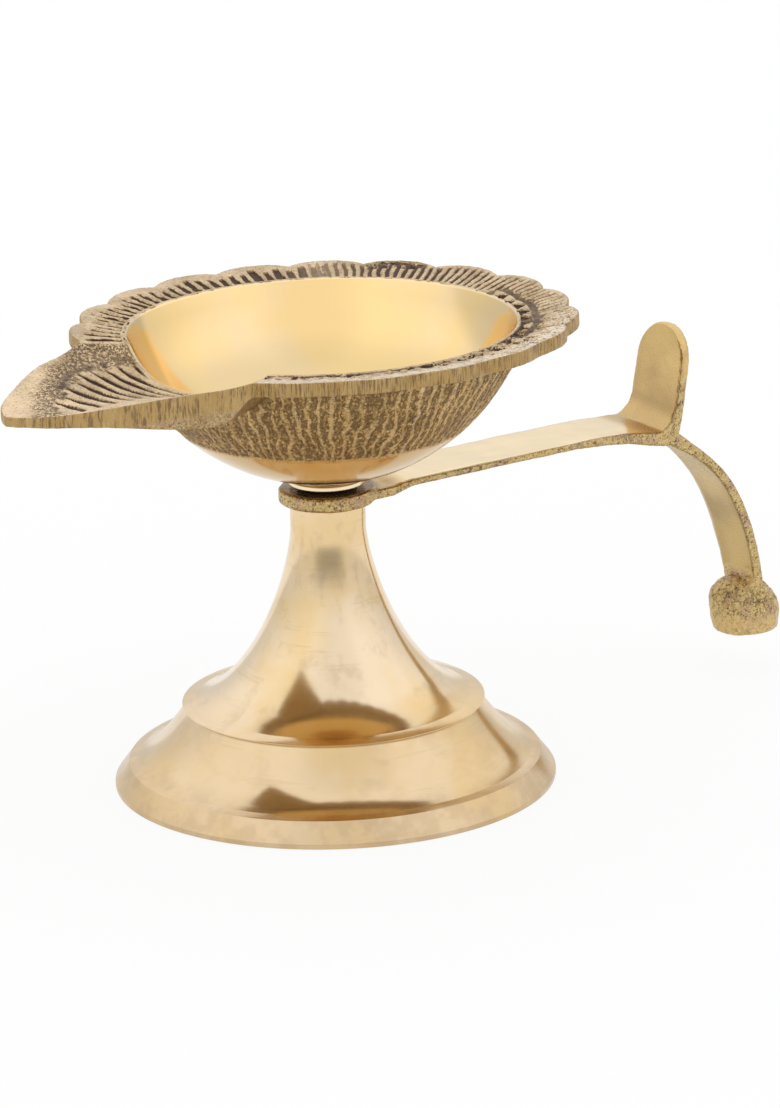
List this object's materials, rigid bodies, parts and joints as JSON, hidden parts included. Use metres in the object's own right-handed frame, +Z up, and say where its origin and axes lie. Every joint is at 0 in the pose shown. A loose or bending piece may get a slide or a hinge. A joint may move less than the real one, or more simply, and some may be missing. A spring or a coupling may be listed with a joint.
{
  "type": "oil lamp",
  "caption": "Cast-brass hand-held oil lamp: leaf-shaped bowl with a petalled rim and spout, on a flared stand, with a swivelling curved handle.",
  "frame": {"origin": "middle of the bounding box, on the table; the stand's axis is the line x = -12.46 mm, y = 0", "axes": "+Z up; -X along the spout; the bowl is symmetric about the XZ plane; the handle points 7.3 degrees from +X towards -Y"},
  "size_m": [0.1537, 0.0786, 0.0746],
  "materials": {
    "bowl_brass": "turned satin well, engraved rim and spout with dark antiquing, cast ribs outside",
    "polished_brass": "polished, with fine turning lines",
    "cast_brass": "satin faces with rough cast edges and a pitted foot",
    "bright_brass": "bright polished",
    "dark_steel": "dark, oiled",
    "plated_steel": "zinc plated"
  },
  "bodies": {
    "stand": {"stand": "polished_brass", "stud": "plated_steel", "hex_nut": "plated_steel", "plain_washer": "plated_steel", "lock_washer": "dark_steel"},
    "handle": {"handle": "cast_brass"},
    "collar": {"collar_washer": "bright_brass"},
    "bowl": {"bowl": "bowl_brass"}
  },
  "joints": [
    {"name": "handle_swivel", "type": "hinge", "parent": "stand", "child": "handle", "pos_m": [-0.01246, 0, 0.0468], "axis": [0, 0, 1], "continuous": true},
    {"name": "bowl_turn", "type": "hinge", "parent": "stand", "child": "collar", "pos_m": [-0.01246, 0, 0.049], "axis": [0, 0, 1], "range_deg": [0, 1440]},
    {"name": "bowl_lift", "type": "slide", "parent": "collar", "child": "bowl", "axis": [0, 0, 1], "range_m": [0, 0.0032]}
  ],
  "couplings": [
    {"joint": "bowl_lift", "follows": "bowl_turn", "m_per_rad": 0.0001273}
  ]
}
